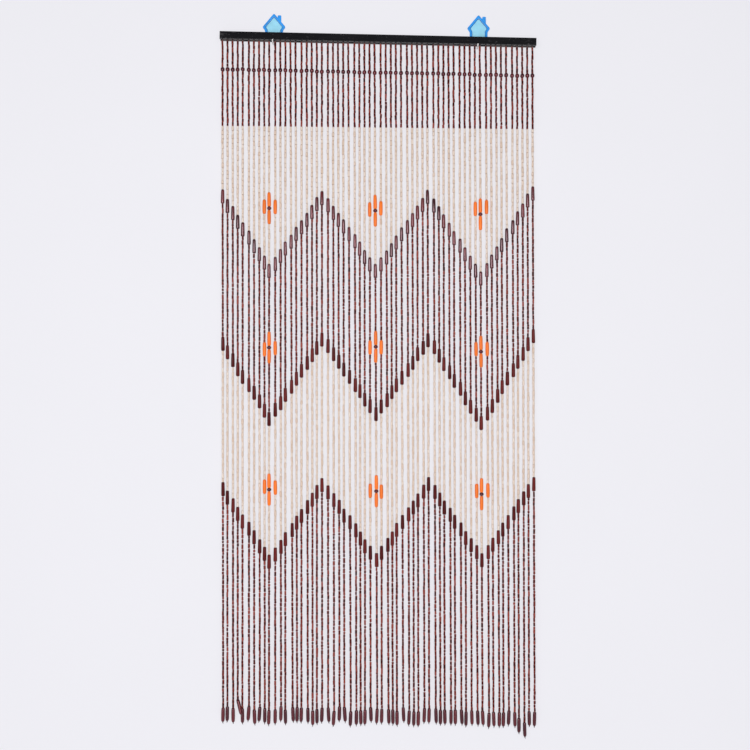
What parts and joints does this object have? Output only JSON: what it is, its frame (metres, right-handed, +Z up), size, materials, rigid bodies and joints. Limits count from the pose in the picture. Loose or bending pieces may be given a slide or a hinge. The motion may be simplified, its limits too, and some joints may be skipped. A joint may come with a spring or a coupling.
{
  "type": "bead curtain on a rail with two wall hooks",
  "caption": "Bead curtain: strands of tube beads with zigzag rows of long beads and orange flower motifs, hung from a black rail that lies in two wall hooks.",
  "frame": {"origin": "on the wall plane behind the curtain, midway along the rail, level with the rail's underside there", "axes": "+X along the wall to the viewer's right, +Y into the wall, +Z up; the curtain faces -Y"},
  "size_m": [0.9003, 0.0296, 2.0625],
  "materials": {
    "rail_black": "black paint, satin",
    "bead_brown": "stained and lacquered tube beads",
    "bead_cream": "natural tube beads, satin",
    "bead_dark": "dark maroon lacquer, glossy",
    "bead_orange": "orange paint, satin",
    "string": "thin twisted cord",
    "hook_plate": "moulded, glossy",
    "hook_frame": "moulded, glossy",
    "hook_prong": "moulded, glossy"
  },
  "bodies": {
    "root": {"rail": "rail_black", "strands_01": "bead_brown", "strands_02": "bead_brown", "strands_03": "bead_brown", "strands_04": "bead_brown", "strands_05": "bead_brown", "strands_06": "bead_brown", "strands_07": "bead_brown", "strands_08": "bead_brown", "strands_09": "bead_brown", "strands_10": "bead_brown", "strands_11": "bead_brown", "strands_12": "bead_brown", "hook_left_plate": "hook_plate", "hook_left_frame": "hook_frame", "hook_left_prong": "hook_prong", "hook_right_plate": "hook_plate", "hook_right_frame": "hook_frame", "hook_right_prong": "hook_prong"}
  },
  "joints": []
}
